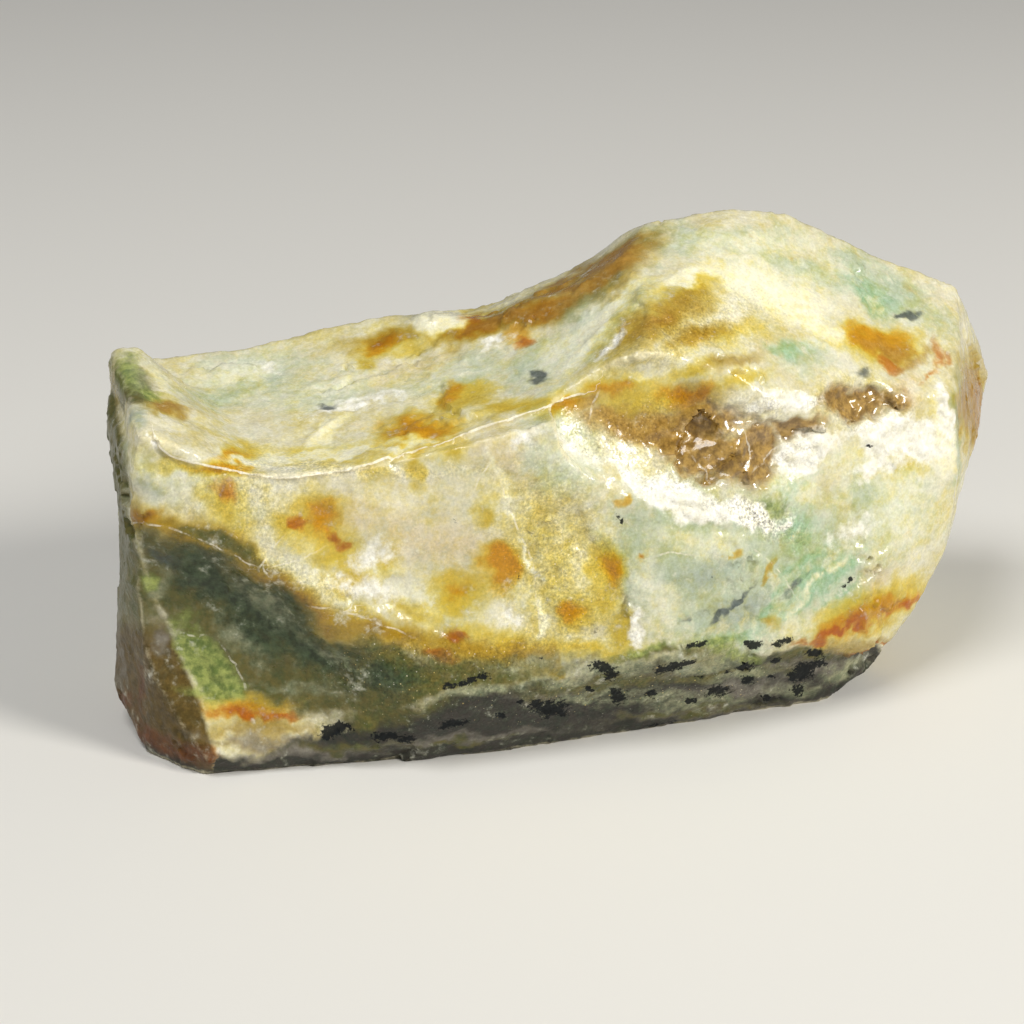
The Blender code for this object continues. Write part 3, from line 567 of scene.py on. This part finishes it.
class Surface:
    """The stone's surface, point by point: where it lies, which way it faces and how the show camera sees it, with
    the fields that its colours follow and the height of its fine relief."""

    def __init__(self, mesh):
        self.mesh = mesh
        self.points = vertex_array(mesh, "co") / MM
        self.normals = vertex_array(mesh, "normal")
        corners = [tuple(face.vertices) for face in mesh.polygons]
        self.skin = BVHTree.FromPolygons([tuple(p) for p in self.points], corners)
        self.across, self.down, self.depth = VIEW.seen(self.points)
        self.facing = self.normals @ VIEW.back
        self.in_view = self.facing > -0.3
        self.strays = [self.crag(2.0, 4, shift) for shift in (50.0, 80.0)]
        self.frays = [self.crag(0.6, 2, shift) for shift in (110.0, 120.0)]
        self.ragged = self.moved(STRAY, FRAY)
        self.crisp = self.moved(CRISP_STRAY, CRISP_STRAY)
        self.drift = np.stack([*self.strays, self.crag(2.0, 4, 70.0)], axis=1)
        self.fray = np.stack([*self.frays, self.crag(0.6, 2, 130.0)], axis=1)
        self.drifted = self.points + 1.6 * self.drift + 0.3 * self.fray
        self.fields = {}
        self.height = None

    def crag(self, wavelength, octaves, shift=0.0):
        return crag(self.points, wavelength, octaves, shift)

    def moved(self, stray, fray):
        """Across and down with their places strayed, so that what follows them has a natural edge."""
        seen = (self.across, self.down)
        return tuple(place + stray * self.strays[k] + fray * self.frays[k] for k, place in enumerate(seen))

    def line(self, line):
        return from_line(line, self.points, self.across, self.down, self.skin)

    def raise_to(self, name, field):
        self.fields[name] = np.maximum(self.fields[name], field)

    def sow_zones(self):
        """The zones of the best side, and their like on the sides that the show camera doesn't see."""
        jitter = self.across + 3.0 * self.crag(0.5, 2, 90.0), self.down + 3.0 * self.crag(0.5, 2, 95.0)
        rng = random.Random(FAR_SEED)
        hidden = np.nonzero(self.facing < -0.1)[0]
        unseen = soft(-self.facing, -0.05, 0.2)
        for name, patches in ZONES.items():
            near = patch_field(patches, *self.ragged, self.depth, self.skin)
            near = np.where(self.facing > -0.25, near, -1.0)
            far = far_field(FAR_PATCHES[name], hidden, self.drifted, rng)
            self.fields[name] = np.maximum(near, far * unseen - (1.0 - unseen))
        for name, corners, rim in FACETS:
            self.raise_to(name, np.where(self.facing > 0.1, facet_field(corners, *self.crisp, rim), -1.0))
        spots = [(a, d, l * SPRAY_LENGTH, w * SPRAY_WIDTH, t, 1.2) for a, d, l, w, t in DENDRITES]
        dots = patch_field(spots, *jitter, self.depth, self.skin)
        speckled = self.points + 0.25 * self.drift + 0.3 * self.fray
        far = far_field(FAR_DENDRITES, hidden, speckled, rng)
        self.fields["dendrite"] = np.maximum(dots, far * unseen - (1.0 - unseen))
        clean = 0.9 * soft(self.fields["cream"], 0.0, 0.8)
        for stain in ("tan", "ochre", "amber"):
            self.fields[stain] = self.fields[stain] - clean

    def lay_ends(self):
        """The dark band under the bevel, painted shade along the stone's foot all round, and the olive and umber left
        end.
        """
        across, down = self.ragged
        self.past_left = np.clip((across_at(LEFT_EDGE, self.down) - self.across) / 6.0, -1.0, 1.6)
        below_bevel = np.clip((down - down_at(BEVEL_TOP, across)) / 12.0, -1.0, 1.6)
        best_side = self.in_view & (self.past_left < 0)
        # Painted shade: dark along the lowest half millimetre of the stone, all round.
        painted_foot_shade = np.clip((0.5 - self.points[:, 2]) * 2, -1, 0.6)
        self.fields["slate"] = np.maximum(np.where(best_side, below_bevel, -1.0), painted_foot_shade)
        upper_end = np.minimum(self.past_left, (630.0 - down) / 30.0)
        upper_end = np.minimum(upper_end, 0.9 + 1.8 * self.crag(4.0, 3, 140.0) + 4.0 * np.maximum(self.facing, 0.0))
        self.raise_to("olive", np.where(self.in_view, upper_end, -1.0))
        lower_end = np.minimum(self.past_left, (down - 600.0) / 40.0)
        self.fields["umber"] = np.where(self.in_view, np.clip(lower_end, -1.0, 1.2), -1.0)

    def fill_hollow(self):
        """The green hollow, the brown stain over its rim, and the pale green face beyond the step."""
        across, down = self.ragged
        rim = down_at(HOLLOW_RIM, across)
        in_hollow = np.minimum((down - rim) / 14.0, (down_at(HOLLOW_FOOT, across) - down) / 10.0)
        in_hollow = np.minimum(in_hollow, (600.0 - across) / 90.0)
        in_hollow = np.where(self.in_view, np.minimum(in_hollow, -self.past_left), -1.0)
        self.raise_to("olive", np.clip(in_hollow, -1.0, 1.1))
        over_rim = np.clip(1.2 - np.abs(down - rim + 6.0) / 12.0, -1.0, 1.0)
        over_rim = np.where(self.in_view & (self.past_left < 0) & (across < 560), over_rim, -1.0)
        self.raise_to("tan", over_rim)
        self.raise_to("ochre", over_rim * 0.5)
        right_of_step = np.clip((self.crisp[0] - across_at(PALE_STEP, self.down)) / 5.0, -1.0, 1.6)
        on_front = (self.down > 500) & (self.across < 700) & (self.facing > 0)
        mint = self.fields["mint"]
        self.fields["mint"] = np.where(on_front, np.minimum(mint, right_of_step), mint)

    def break_faces(self):
        """Rough and sharded faces, chipped edges, the flaky crust and the glassy facets of the cavity."""
        height = ROUGH * self.crag(1.9, 5) + FINE_ROUGH * self.crag(0.5, 2, 9.0)
        broken = np.clip(0.5 + 1.5 * self.crag(6.0, 2, 61.0), 0.0, 1.0)
        big, small = shards(self.drifted, 3.6, 21.0), shards(self.drifted, 1.4, 27.0)
        height += broken * (BIG_SHARD * big + SMALL_SHARD * small)
        self.fields["edge"] = edginess(self.mesh, self.normals)
        height -= self.fields["edge"] * EDGE_CHIP * np.clip(self.crag(0.9, 3, 31.0) + 0.25, 0.0, 1.0)

        crust = soft(self.fields["chalk"], 0.1, 0.9)
        worked = np.nonzero(crust > 0.02)[0]
        streak = CRUST_RUN[0] * VIEW.right + CRUST_RUN[1] * VIEW.up
        along = (self.points[worked] @ streak)[:, None] * streak
        drawn_out = self.points[worked] - 0.65 * along + 0.5 * self.drift[worked]
        chips = flakes(drawn_out, 0.7) * CRUST_FLAKE - 0.06 + 0.08 * crag(drawn_out, 0.4, 3, 3.0)
        height[worked] += crust[worked] * chips

        glassy = soft(self.fields["honey"], 0.0, 0.5)
        worked = np.nonzero(glassy > 0.02)[0]
        chips = shards(self.points[worked], 1.9) * GLASS_SHARD + shards(self.points[worked], 0.9, 9.0) * 0.12 - 0.14
        height[worked] += glassy[worked] * (chips - 0.7 * height[worked])
        self.height = height

    def draw_lines(self):
        """The ledge, small ridges and cracks, healed cracks, the pale step and the ripples on the left shelf."""
        gap, taper = self.line(LEDGE)
        nibbled = gap + 0.05 * self.crag(0.6, 3, 77.0)
        above, under = LEDGE_LIP * np.exp(-np.abs(gap) / 0.8), LEDGE_DROP * np.exp(-np.abs(gap) / 3.0)
        self.height += taper * np.where(nibbled > 0, above, under) * np.tanh(nibbled / 0.04)
        self.fields["ledge"] = nibbled + np.sign(nibbled) * 0.4 * (1.0 - taper)
        for line, rise in SMALL_RIDGES.values():
            gap, taper = self.line(line)
            self.height += taper * rise * np.exp(-((gap / RIDGE_WIDTH) ** 2))
        nearest = np.full(len(self.points), 9.0)
        near_one = np.zeros(len(self.points))
        for line in HAIRLINES:
            gap, taper = self.line(line)
            gap = gap + 0.08 * self.frays[0]
            closer = np.abs(gap) < np.abs(nearest)
            nearest = np.where(closer, gap, nearest)
            near_one = np.where(closer, taper * soft(-np.abs(gap), -0.5, -0.3), near_one)
        self.fields["hairline_near"] = near_one
        self.fields["hairline"] = nearest
        gap, taper = self.line(PALE_STEP)
        above, under = STEP_LIP * np.exp(-np.abs(gap) / 1.6), STEP_DROP * np.exp(-np.abs(gap) / 3.5)
        self.height += taper * np.where(gap > 0, above, under) * np.tanh(gap / 0.12)
        shell = np.hypot(self.across - 120, self.down - 470)
        ripple = np.sin(shell / 15.0 * 2 * math.pi + 2.0 * self.crag(3.0, 2, 5.0))
        middle = ((self.across - 195) / 60) ** 2 + ((self.down - 505) / 32) ** 2
        on_shelf = np.exp(-middle) * (self.facing > 0)
        self.height += RIPPLE * on_shelf * ripple

    def shape(self):
        """Moves the mesh out to the fine relief, keeps its foot level, and stores the fields on it."""
        flat = (self.normals[:, 2] < -0.9) & (self.points[:, 2] < 0.12)
        self.height[flat] = 0.0
        points = self.points + self.normals * self.height[:, None]
        points[flat, 2] = 0.0
        points[:, 2] = np.maximum(points[:, 2], 0.0)
        self.mesh.vertices.foreach_set("co", (points * MM).ravel())
        for name, values in self.fields.items():
            store(self.mesh, name, values)
        self.mesh.update()


def down_at(line, across):
    """How far down a line lies at places across."""
    return np.interp(across, *zip(*line))


def across_at(line, down):
    """How far across a line lies at places down."""
    return np.interp(down, [d for a, d in line], [a for a, d in line])


# ---------------------------------------------------------------- finishes


def add(tree, kind, sockets=None, **settings):
    """Adds a node. Settings are its properties. A socket's value is set, or linked where it is another socket or a
    node, which stands for its first output."""
    node = tree.nodes.new("ShaderNode" + kind)
    for name, value in settings.items():
        setattr(node, name, value)
    for name, value in (sockets or {}).items():
        if isinstance(value, bpy.types.Node):
            value = value.outputs[0]
        if isinstance(value, bpy.types.NodeSocket):
            tree.links.new(value, node.inputs[name])
        else:
            node.inputs[name].default_value = value
    return node


# Zones from the lowest layer up. A clay or a different opal covers what is under it: two tones, how ragged its edge
# is, how soft, and how much it covers. A stain lets light through: its tint, ragged, soft, and its greatest depth.
COVERS = (
    ("rose", "#E0CCA6", "#D6BC98", 0.7, 1.0, 0.6),
    ("mint", "#B8C4AA", "#AABCA8", 0.8, 0.7, 0.9),
    ("blue_grey", "#A0ACA4", "#B0B8AA", 0.8, 0.9, 0.85),
    ("milk", "#F2F0DA", "#E6E6CC", 0.9, 0.9, 0.75),
    ("aqua", "#98C09C", "#80AC86", 0.9, 0.7, 0.75),
    ("cream", "#FAF8DE", "#F4EEC8", 0.9, 0.7, 0.85),
)
STAINS = (
    ("tan", "#D7C8A0", 0.8, 0.9, 1.4),
    ("ochre", "#EED974", 1.0, 1.0, 1.3),
    ("amber", "#F8DA92", 1.2, 0.9, 1.5),
    ("rust", "#E6B890", 1.2, 0.7, 1.5),
)
DARK_COVERS = (
    ("caramel", "#9C7430", "#B08A42", 1.0, 0.9, 0.75),
    ("umber", "#50421E", "#6A562A", 0.6, 0.6, 1.0),
    ("brick", "#74421E", "#5A3218", 0.9, 0.8, 0.9),
    # Slate: dark grey below the bevel top, and painted shade along the stone's foot.
    ("slate", "#423E38", "#32362E", 0.6, 0.5, 1.0),
    ("ash", "#8E887C", "#767064", 0.8, 0.8, 0.8),
    ("olive", "#686030", "#54582E", 0.7, 0.7, 1.0),
    ("moss", "#2C3820", "#46563A", 0.9, 0.9, 1.0),
    ("sage", "#7C8466", "#A8A886", 1.0, 0.8, 0.85),
    ("leaf", "#62783A", "#A8B262", 1.3, 0.8, 0.85),
)
CRUSTS = (
    ("honey", "#74531C", "#B08A40", 0.5, 0.6, 0.92),
    ("chalk", "#FCFAF0", "#EEEAD6", 1.3, 0.5, 0.95),
    ("smoke", "#343C42", "#5A6464", 0.7, 0.6, 0.85),
)
# Lustre of the zones that differ from the waxy opal: roughness, how strongly they mirror, and how deep the tooth is.
LUSTRE = {
    "slate": (0.4, 0.25, 0.3), "olive": (0.3, 0.35, 0.3), "moss": (0.22, 0.4, 0.2), "umber": (0.35, 0.3, 0.3),
    "honey": (0.13, 0.75, 0.05), "chalk": (0.5, 0.35, 0.6),
}
MILK_TONES = ("#E0DCC4", "#D4CCA6", "#EAE8D8")
WISP_TONE = "#F2ECD2"
VEIN_TONE = "#F4EEDC"
# Painted highlight: golden glints.
PAINTED_GLINT_TONE = "#D9BE66"
# Painted highlight: white sparkle of bare crystal faces.
CRYSTAL_SPARKLE_TONE = "#FAF6E6"
# Paler tone along the stone's sharp edges.
PALE_EDGE_TONE = "#F2E8C4"
# Painted highlight along the ledge's lip, and painted shadow in the corner under it.
LIP_HIGHLIGHT_TONE = "#FFF8E2"
LIP_SHADOW_TONE = "#9C7434"
DENDRITE_TONES = ("#0A0C0E", "#24282A")
# How many of each pattern's grains lie along a millimetre. No octave of a pattern is finer than a pixel can show.
CLOUDS = 0.55  # milky clouds, 1.8 mm
WISPS = 0.8  # wisps, 1.25 mm
FINES = 2.6  # clay and opal grain, 0.4 mm
TOOTH_GRAIN = 3.4  # waviness of a broken face, 0.3 mm
ORE_GRAINS = 5.5  # iron ore and bare crystals, 0.18 mm
SPRAYS = 6.0  # feathery rims of manganese sprays, 0.17 mm
GRIT = 8.0  # sugary crystals, 0.12 mm: coarser than real ones, which would be too fine to show
CRYSTAL_FACE = 0.1  # width of a crystal face that flashes, in millimetres, coarser than real ones too


class Finish:
    """The stone's finish as it is built up, layer on layer: its colour, gloss, mirror strength and tooth so far."""

    def __init__(self, tree):
        self.tree = tree
        place = self.add("TexCoord").outputs["Object"]
        self.mm = self.add("VectorMath", {0: place, 1: (1 / MM,) * 3}, operation="MULTIPLY")
        cloud = self.add(
            "TexNoise", {"Vector": self.mm, "Scale": CLOUDS, "Detail": 4.0, "Roughness": 0.62, "Distortion": 0.2},
        )
        fine = self.add("TexNoise", {"Vector": self.mm, "Scale": FINES, "Detail": 3.0, "Roughness": 0.6})
        self.clouds = self.add("SeparateColor", {0: cloud.outputs["Color"]}).outputs
        self.fines = self.add("SeparateColor", {0: fine.outputs["Color"]}).outputs
        self.pull = fine.outputs["Color"]
        self.off_grain = self.add("TexVoronoi", {"Vector": self.mm, "Scale": ORE_GRAINS, "Randomness": 1.0})
        self.colour = srgb(MILK_TONES[0])
        self.gloss = None
        self.mirror = 0.5
        self.tooth = 0.25

    def add(self, kind, sockets=None, **settings):
        return add(self.tree, kind, sockets, **settings)

    def field(self, name):
        """What the mesh carries under a name."""
        return self.add("Attribute", attribute_name=name, attribute_type="GEOMETRY").outputs["Fac"]

    def share_of(self, name, number, ragged, softness, most):
        """How much of a zone shows at each place: its field, frayed by clouds and by fine grain."""
        frayed = self.field(name)
        for grain, reach in ((self.clouds[number % 3], 1.6), (self.fines[(number + 1) % 3], 1.3)):
            frayed = self.add("Math", {0: grain, 1: ragged * reach, 2: frayed}, operation="MULTIPLY_ADD")
        middle = ragged * 1.45 + 0.25
        return self.add(
            "MapRange",
            {"Value": frayed, "From Min": middle - softness, "From Max": middle + softness, "To Max": most},
            interpolation_type="SMOOTHSTEP",
        )

    def cover(self, share, tone):
        """Lays an opaque tone over the colour so far."""
        self.colour = self.add("Mix", {0: share, 6: self.colour, 7: tone}, data_type="RGBA").outputs[2]

    def veil(self, tone, value, bare, full, most=1.0, only=()):
        """Lays a tone as a value goes from bare to full, and only as far as some other shares let it show."""
        share = self.add(
            "MapRange", {"Value": value, "From Min": bare, "From Max": full, "To Max": most},
            interpolation_type="SMOOTHSTEP",
        )
        for other in only:
            share = self.add("Math", {0: share, 1: other}, operation="MULTIPLY", use_clamp=True)
        self.cover(share, tone)
        return share

    def polish(self, share, **lustre):
        """Gives a share of the face its own gloss, mirror strength or tooth."""
        for name, value in lustre.items():
            before = getattr(self, name)
            setattr(self, name, self.add("Mix", {0: share, 2: before, 3: value}, data_type="FLOAT"))

    def how_far_from(self, value, middle):
        off = self.add("Math", {0: value, 1: middle}, operation="SUBTRACT")
        return self.add("Math", {0: off}, operation="ABSOLUTE")

    def lay_clay(self, number, row):
        """Lays one clay, opal or crust over the others, with its own lustre."""
        name, first, second, ragged, softness, most = row
        share = self.share_of(name, number, ragged, softness, most)
        marbling = self.add(
            "MapRange", {"Value": self.fines[(number + 2) % 3], "From Min": 0.32, "From Max": 0.68},
            interpolation_type="SMOOTHSTEP",
        )
        tone = self.add("Mix", {0: marbling, 6: srgb(first), 7: srgb(second)}, data_type="RGBA")
        self.cover(share, tone.outputs[2])
        if name in LUSTRE:
            gloss, mirror, tooth = LUSTRE[name]
            self.polish(share, gloss=gloss, mirror=mirror, tooth=tooth)

    def soak(self, number, row):
        """Soaks a stain into the opal: the deeper it goes, the more of the light it keeps."""
        name, tint, ragged, softness, deepest = row
        depth = self.share_of(name, number, ragged, softness, deepest)
        through = {}
        for channel, left in enumerate(srgb(tint)[:3]):
            through[channel] = self.add("Math", {0: left, 1: depth}, operation="POWER")
        filtered = self.add("CombineColor", through)
        self.colour = self.add(
            "Mix", {0: 1.0, 6: self.colour, 7: filtered}, data_type="RGBA", blend_type="MULTIPLY",
        ).outputs[2]

    def lay_milk(self):
        """The opal's own milkiness: two tones in clouds, with paler grain."""
        self.veil(srgb(MILK_TONES[1]), self.clouds[0], 0.35, 0.65)
        self.veil(srgb(MILK_TONES[2]), self.fines[1], 0.45, 0.75, 0.6)
        self.gloss = self.add(
            "MapRange", {"Value": self.fines[0], "From Min": 0.3, "From Max": 0.7, "To Min": 0.12, "To Max": 0.28},
        )

    def draw_wisps(self):
        """Milky wisps and thin pale veins inside the opal."""
        wisp = self.add(
            "TexNoise", {"Vector": self.mm, "Scale": WISPS, "Detail": 4.0, "Roughness": 0.6, "Distortion": 0.4},
        )
        self.veil(srgb(WISP_TONE), wisp, 0.52, 0.66, 0.4)
        self.veil(srgb(VEIN_TONE), self.how_far_from(self.clouds[1], 0.5), 0.012, 0.0, 0.25, (self.fines[1],))

    def draw_painted_glints(self):
        """Painted highlights: small golden glints."""
        near = self.add("Math", {0: self.off_grain, 1: self.fines[0]}, operation="ADD")
        self.veil(srgb(PAINTED_GLINT_TONE), near, 0.62, 0.48, 1.0, (self.share_of("glint", 2, 0.8, 0.6, 0.8),))

    def draw_crystal_sparkles(self):
        """Painted highlights: white sparkle where a crystal face lies bare."""
        near = self.add("Math", {0: self.fines[1], 1: -0.55, 2: self.off_grain}, operation="MULTIPLY_ADD")
        self.veil(srgb(CRYSTAL_SPARKLE_TONE), near, -0.14, -0.22, 0.4, (self.share_of("glint", 1, 0.8, 0.8, 1.0),))

    def draw_ledge(self):
        """The broken edge of the upper layer: its bright thin lip is a painted highlight, and the corner under it
        gets painted shadow.
        """
        above = self.field("ledge")
        under = self.add("Math", {0: above, 1: 0.02}, operation="LESS_THAN")
        # Painted shadow in the corner under the lip.
        self.veil(srgb(LIP_SHADOW_TONE), above, -0.14, -0.02, 0.38, (under, self.clouds[1]))
        # Painted highlight along the lip.
        self.veil(srgb(LIP_HIGHLIGHT_TONE), self.how_far_from(above, 0.05), 0.06, 0.03, 1.4, (self.fines[2],))

    def draw_hairlines(self):
        """Healed cracks that show as thin pale lines, broken here and there."""
        broken = self.add(
            "MapRange", {"Value": self.fines[0], "From Min": 0.4, "From Max": 0.6, "To Max": 0.55},
            interpolation_type="SMOOTHSTEP",
        )
        off = self.add("Math", {0: self.field("hairline")}, operation="ABSOLUTE")
        self.veil(srgb(VEIN_TONE), off, 0.06, 0.02, 1.0, (self.field("hairline_near"), broken))

    def draw_dendrites(self):
        """Black manganese ore, feathery at its edges because it grew in sprays."""
        spray = self.add("TexNoise", {"Vector": self.mm, "Scale": SPRAYS, "Detail": 2.0, "Roughness": 0.7})
        frayed = self.add("Math", {0: spray, 1: 3.2, 2: self.field("dendrite")}, operation="MULTIPLY_ADD")
        black, grey = DENDRITE_TONES
        tone = self.add("Mix", {0: self.fines[0], 6: srgb(black), 7: srgb(grey)}, data_type="RGBA")
        share = self.veil(tone.outputs[2], frayed, 1.85, 2.5, 0.96)
        self.polish(share, gloss=0.5, mirror=0.08)

    def pale_edges_and_grit(self):
        """Sharp edges made paler, and the light and dark of single crystals."""
        paled_edge = self.add("Math", {0: self.field("edge"), 1: self.fines[0]}, operation="ADD")
        self.veil(srgb(PALE_EDGE_TONE), paled_edge, 0.8, 1.4, 0.5)
        zone = self.share_of("glint", 0, 0.8, 0.8, 1.0)
        depth = self.add("Math", {0: zone, 1: self.tooth}, operation="MULTIPLY")
        depth = self.add("Math", {0: depth, 1: 4.4, 2: 0.4}, operation="MULTIPLY_ADD")
        grit = self.add("TexNoise", {"Vector": self.mm, "Scale": GRIT, "Detail": 1.0, "Roughness": 0.75})
        off = self.add("Math", {0: grit, 1: 0.5}, operation="SUBTRACT")
        flat = self.add("Math", {0: self.fines[2], 1: 0.3, 2: 0.85}, operation="MULTIPLY_ADD")
        shade = self.add("Math", {0: off, 1: depth, 2: flat}, operation="MULTIPLY_ADD")
        self.colour = self.add(
            "Mix", {0: 1.0, 6: self.colour, 7: shade}, data_type="RGBA", blend_type="MULTIPLY",
        ).outputs[2]

    def sugary_grain(self):
        """The face's direction: fine tooth, and little crystal faces that each flash their own way."""
        pulled = self.add("VectorMath", {0: self.pull, 1: (0.5,) * 3, 2: self.mm}, operation="MULTIPLY_ADD")
        cell = self.add("VectorMath", {0: pulled, 1: (CRYSTAL_FACE,) * 3}, operation="SNAP")
        crystals = self.add("TexWhiteNoise", {"Vector": cell}, noise_dimensions="3D").outputs["Color"]
        tilt = self.add("VectorMath", {0: crystals, 1: (0.5,) * 3}, operation="SUBTRACT")
        sparkle = self.add(
            "MapRange", {"Value": self.fines[1], "From Min": 0.48, "From Max": 0.7, "To Min": 0.2, "To Max": 1.2},
        )
        sparkle = self.add("Math", {0: sparkle, 1: self.tooth}, operation="MULTIPLY")
        tilt = self.add("VectorMath", {0: tilt, "Scale": sparkle}, operation="SCALE")
        straight = self.add("NewGeometry").outputs["Normal"]
        tilted = self.add("VectorMath", {0: straight, 1: tilt}, operation="ADD")
        tilted = self.add("VectorMath", {0: tilted}, operation="NORMALIZE")
        grain = self.add("TexNoise", {"Vector": self.mm, "Scale": TOOTH_GRAIN, "Detail": 2.0, "Roughness": 0.6})
        return self.add("Bump", {"Height": grain, "Strength": self.tooth, "Distance": 0.0001, "Normal": tilted})


def broken_common_opal():
    """Common opal, broken and unpolished: waxy, with light going a little way in and clay and iron stains as clouds.
    """
    material = bpy.data.materials.new("broken_common_opal")
    material.use_nodes = True
    tree = material.node_tree
    tree.nodes.clear()
    finish = Finish(tree)
    finish.lay_milk()
    for number, row in enumerate(COVERS):
        finish.lay_clay(number, row)
    finish.draw_wisps()
    for number, row in enumerate(STAINS, 1):
        finish.soak(number, row)
    for number, row in enumerate(DARK_COVERS):
        finish.lay_clay(number, row)
    finish.draw_painted_glints()
    finish.draw_crystal_sparkles()
    for number, row in enumerate(CRUSTS):
        finish.lay_clay(number, row)
    finish.draw_hairlines()
    finish.draw_ledge()
    finish.draw_dendrites()
    finish.pale_edges_and_grit()
    shader = add(tree, "BsdfPrincipled", {
        "Base Color": finish.colour, "Roughness": finish.gloss, "IOR": 1.45, "Metallic": 0.0,
        "Normal": finish.sugary_grain(), "Specular IOR Level": finish.mirror,
        "Subsurface Weight": 0.1, "Subsurface Radius": (1.0, 0.85, 0.6), "Subsurface Scale": 0.0004,
    }, subsurface_method="BURLEY")
    add(tree, "OutputMaterial", {"Surface": shader.outputs["BSDF"]})
    return material


def matt_board():
    """Matt off-white board: even, with a faint tooth."""
    material = bpy.data.materials.new("matt_board")
    material.use_nodes = True
    shader = material.node_tree.nodes["Principled BSDF"]
    shader.inputs["Base Color"].default_value = srgb("#E4E2DC")
    shader.inputs["Roughness"].default_value = 0.9
    shader.inputs["Specular IOR Level"].default_value = 0.2
    return material


# ---------------------------------------------------------------- studio


def studio():
    floor_mesh = bpy.data.meshes.new("floor")
    bm = bmesh.new()
    bmesh.ops.create_circle(bm, cap_ends=True, segments=96, radius=2.5)
    bm.to_mesh(floor_mesh)
    bm.free()
    floor = bpy.data.objects.new("floor", floor_mesh)
    floor.data.materials.append(matt_board())
    bpy.context.scene.collection.objects.link(floor)

    lamps = (
        ("key", (0.17, -0.16, 0.17), 0.08, 0.57, "#FFFCF6"),
        ("fill", (-0.24, -0.24, 0.14), 0.25, 0.05, "#F4F7FF"),
        ("above", (-0.10, -0.06, 0.28), 0.14, 0.45, "#FFFFFF"),
    )
    for name, place, size, power, tint in lamps:
        light = bpy.data.lights.new(name, "AREA")
        light.shape = "DISK"
        light.size = size
        light.energy = power
        light.color = srgb(tint)[:3]
        lamp = bpy.data.objects.new(name, light)
        lamp.location = place
        lamp.rotation_euler = (Vector((0, 0, 0.008)) - Vector(place)).to_track_quat("-Z", "Y").to_euler()
        bpy.context.scene.collection.objects.link(lamp)

    world = bpy.data.worlds.new("studio")
    world.use_nodes = True
    world.node_tree.nodes["Background"].inputs["Color"].default_value = srgb("#EDEEF0")
    world.node_tree.nodes["Background"].inputs["Strength"].default_value = 0.17
    bpy.context.scene.world = world
    bpy.context.scene.view_settings.view_transform = "Standard"


def show_camera():
    data = bpy.data.cameras.new("show_camera")
    data.lens = LENS
    data.sensor_width = SENSOR
    data.clip_start = 0.005
    data.clip_end = 10.0
    camera = bpy.data.objects.new("show_camera", data)
    camera.location = Vector(VIEW.eye) * MM
    camera.rotation_mode = "QUATERNION"
    camera.rotation_quaternion = Vector(-VIEW.back).to_track_quat("-Z", "Y")
    bpy.context.scene.collection.objects.link(camera)
    bpy.context.scene.camera = camera


VIEW = ShowView()
stone = even_grid(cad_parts["opal_stone"])
surface = Surface(stone.data)
surface.sow_zones()
surface.lay_ends()
surface.fill_hollow()
surface.break_faces()
surface.draw_lines()
surface.shape()
thin_out(stone)
stone.data.materials.clear()
stone.data.materials.append(broken_common_opal())
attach(stone, "root")
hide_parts("opal_stone")

studio()
show_camera()
